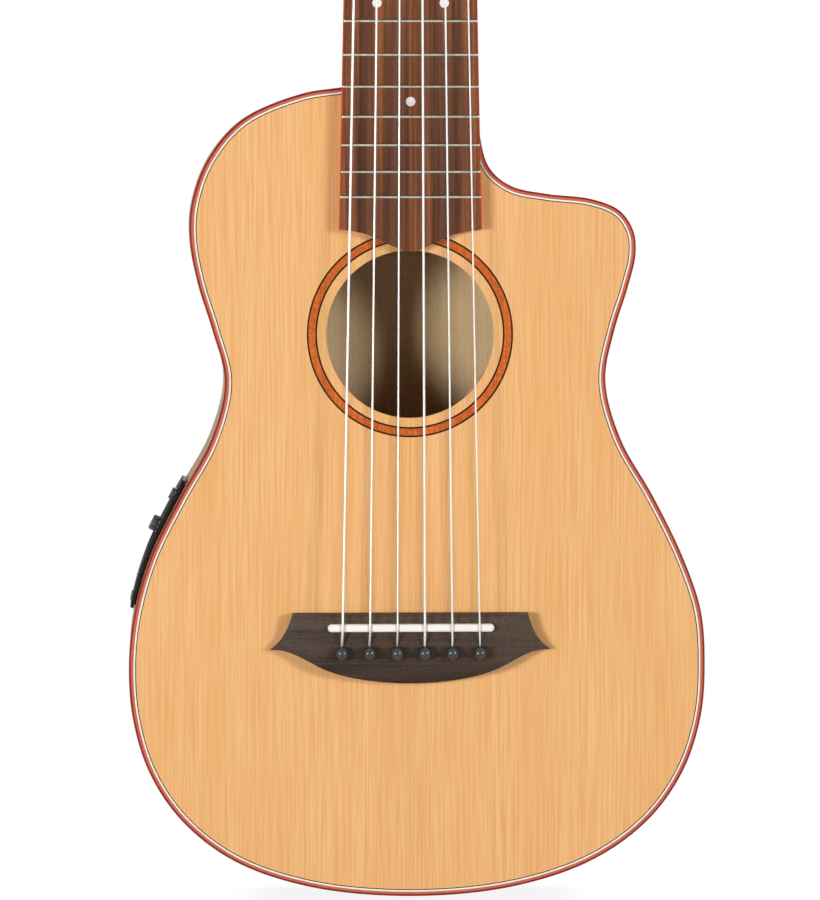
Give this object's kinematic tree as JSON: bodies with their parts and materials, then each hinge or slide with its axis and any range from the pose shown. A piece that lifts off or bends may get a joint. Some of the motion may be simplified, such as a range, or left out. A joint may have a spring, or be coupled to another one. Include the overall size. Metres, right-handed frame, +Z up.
{
  "type": "travel guitar",
  "caption": "Small cutaway nylon-string guitar with a soundhole, pinned bridge, geared tuners and a side preamp.",
  "frame": {"origin": "on the centreline at the nut, in the plane of the soundboard face, where a hanger carries the headstock shoulders", "axes": "+Z up the neck to the headstock, +Y into the body towards the back, +X to the treble side; the soundboard faces -Y"},
  "size_m": [0.247, 0.0868, 0.768],
  "materials": {
    "top_wood": "satin",
    "rosette_wood": "satin",
    "binding_wood": "gloss",
    "purfling": "satin",
    "side_wood": "gloss",
    "back_wood": "gloss",
    "neck_wood": "satin",
    "inner_wood": "raw",
    "block_wood": "raw",
    "board_wood": "satin",
    "bridge_wood": "satin",
    "bone": "satin",
    "nylon": "gloss",
    "pin_plastic": "gloss",
    "panel_plastic": "satin",
    "knob_plastic": "satin",
    "plate_metal": "polished",
    "gear_metal": "satin",
    "worm_metal": "polished with pearl buttons",
    "steel": "plain",
    "jack_metal": "polished",
    "strap_metal": "polished",
    "battery_case": "satin"
  },
  "bodies": {
    "root": {"soundboard": "top_wood", "rosette": "rosette_wood", "top_purfling": "purfling", "top_binding": "binding_wood", "back_binding": "binding_wood", "back_plate": "back_wood", "top_lining": "inner_wood", "back_lining": "inner_wood", "neck_block": "block_wood", "tail_block": "block_wood", "output_jack": "jack_metal", "upper_transverse_brace": "inner_wood", "x_brace": "inner_wood", "bridge_plate": "block_wood", "back_brace_1": "inner_wood", "back_brace_2": "inner_wood", "back_brace_3": "inner_wood", "neck": "neck_wood", "neck_rod": "steel", "headstock_veneer": "board_wood", "strap_button": "strap_metal", "fretboard": "board_wood", "nut": "bone", "bridge": "bridge_wood", "pickup_strip": "steel", "saddle": "bone", "tuner_plate_bass": "plate_metal", "tuner_plate_treble": "plate_metal", "sides": "side_wood", "preamp_housing": "panel_plastic", "battery": "battery_case", "bridge_pin_1": "pin_plastic", "string_1": "nylon", "bridge_pin_2": "pin_plastic", "string_2": "nylon", "bridge_pin_3": "pin_plastic", "string_3": "nylon", "bridge_pin_4": "pin_plastic", "string_4": "nylon", "bridge_pin_5": "pin_plastic", "string_5": "nylon", "bridge_pin_6": "pin_plastic", "string_6": "nylon"},
    "worm_1": {"tuner_worm_1": "worm_metal"},
    "worm_2": {"tuner_worm_2": "worm_metal"},
    "worm_3": {"tuner_worm_3": "worm_metal"},
    "worm_4": {"tuner_worm_4": "worm_metal"},
    "worm_5": {"tuner_worm_5": "worm_metal"},
    "worm_6": {"tuner_worm_6": "worm_metal"},
    "post_1": {"tuner_post_1": "gear_metal"},
    "post_2": {"tuner_post_2": "gear_metal"},
    "post_3": {"tuner_post_3": "gear_metal"},
    "post_4": {"tuner_post_4": "gear_metal"},
    "post_5": {"tuner_post_5": "gear_metal"},
    "post_6": {"tuner_post_6": "gear_metal"},
    "volume_knob": {"volume_knob": "knob_plastic"},
    "tone_knob": {"tone_knob": "knob_plastic"},
    "preamp_button": {"preamp_button": "knob_plastic"},
    "battery_door": {"battery_door": "panel_plastic"}
  },
  "joints": [
    {"name": "worm_1_turn", "type": "hinge", "parent": "root", "child": "worm_1", "pos_m": [-0.023, 0.02471, 0.02452], "axis": [1, 0, 0], "continuous": true},
    {"name": "post_1_turn", "type": "hinge", "parent": "root", "child": "post_1", "pos_m": [-0.023, 0.00825, 0.0363], "axis": [0, 0.9781, -0.2079], "continuous": true},
    {"name": "worm_2_turn", "type": "hinge", "parent": "root", "child": "worm_2", "pos_m": [-0.023, 0.03261, 0.06169], "axis": [1, 0, 0], "continuous": true},
    {"name": "post_2_turn", "type": "hinge", "parent": "root", "child": "post_2", "pos_m": [-0.023, 0.01615, 0.07347], "axis": [0, 0.9781, -0.2079], "continuous": true},
    {"name": "worm_3_turn", "type": "hinge", "parent": "root", "child": "worm_3", "pos_m": [-0.023, 0.04052, 0.09886], "axis": [1, 0, 0], "continuous": true},
    {"name": "post_3_turn", "type": "hinge", "parent": "root", "child": "post_3", "pos_m": [-0.023, 0.02405, 0.11064], "axis": [0, 0.9781, -0.2079], "continuous": true},
    {"name": "worm_4_turn", "type": "hinge", "parent": "root", "child": "worm_4", "pos_m": [0.023, 0.04052, 0.09886], "axis": [1, 0, 0], "continuous": true},
    {"name": "post_4_turn", "type": "hinge", "parent": "root", "child": "post_4", "pos_m": [0.023, 0.02405, 0.11064], "axis": [0, 0.9781, -0.2079], "continuous": true},
    {"name": "worm_5_turn", "type": "hinge", "parent": "root", "child": "worm_5", "pos_m": [0.023, 0.03261, 0.06169], "axis": [1, 0, 0], "continuous": true},
    {"name": "post_5_turn", "type": "hinge", "parent": "root", "child": "post_5", "pos_m": [0.023, 0.01615, 0.07347], "axis": [0, 0.9781, -0.2079], "continuous": true},
    {"name": "worm_6_turn", "type": "hinge", "parent": "root", "child": "worm_6", "pos_m": [0.023, 0.02471, 0.02452], "axis": [1, 0, 0], "continuous": true},
    {"name": "post_6_turn", "type": "hinge", "parent": "root", "child": "post_6", "pos_m": [0.023, 0.00825, 0.0363], "axis": [0, 0.9781, -0.2079], "continuous": true},
    {"name": "volume_knob_turn", "type": "hinge", "parent": "root", "child": "volume_knob", "pos_m": [-0.10763, 0.0182, -0.47047], "axis": [-0.8995, 0, 0.4369], "range_deg": [-135, 135]},
    {"name": "tone_knob_turn", "type": "hinge", "parent": "root", "child": "tone_knob", "pos_m": [-0.10079, 0.0182, -0.4574], "axis": [-0.8759, 0, 0.4825], "range_deg": [-135, 135]},
    {"name": "preamp_button_press", "type": "slide", "parent": "root", "child": "preamp_button", "axis": [0.9744, 0, -0.2247], "range_m": [0, 0.0008], "stiffness_N_per_m": 400, "springref_m": -0.0005},
    {"name": "battery_door_swing", "type": "hinge", "parent": "root", "child": "battery_door", "pos_m": [-0.11055, 0.0515, -0.4776], "axis": [-0.3905, 0, -0.9206], "range_deg": [0, 100]}
  ],
  "couplings": [
    {"joint": "post_1_turn", "follows": "worm_1_turn", "ratio": 0.071429},
    {"joint": "post_2_turn", "follows": "worm_2_turn", "ratio": 0.071429},
    {"joint": "post_3_turn", "follows": "worm_3_turn", "ratio": 0.071429},
    {"joint": "post_4_turn", "follows": "worm_4_turn", "ratio": -0.071429},
    {"joint": "post_5_turn", "follows": "worm_5_turn", "ratio": -0.071429},
    {"joint": "post_6_turn", "follows": "worm_6_turn", "ratio": -0.071429}
  ]
}
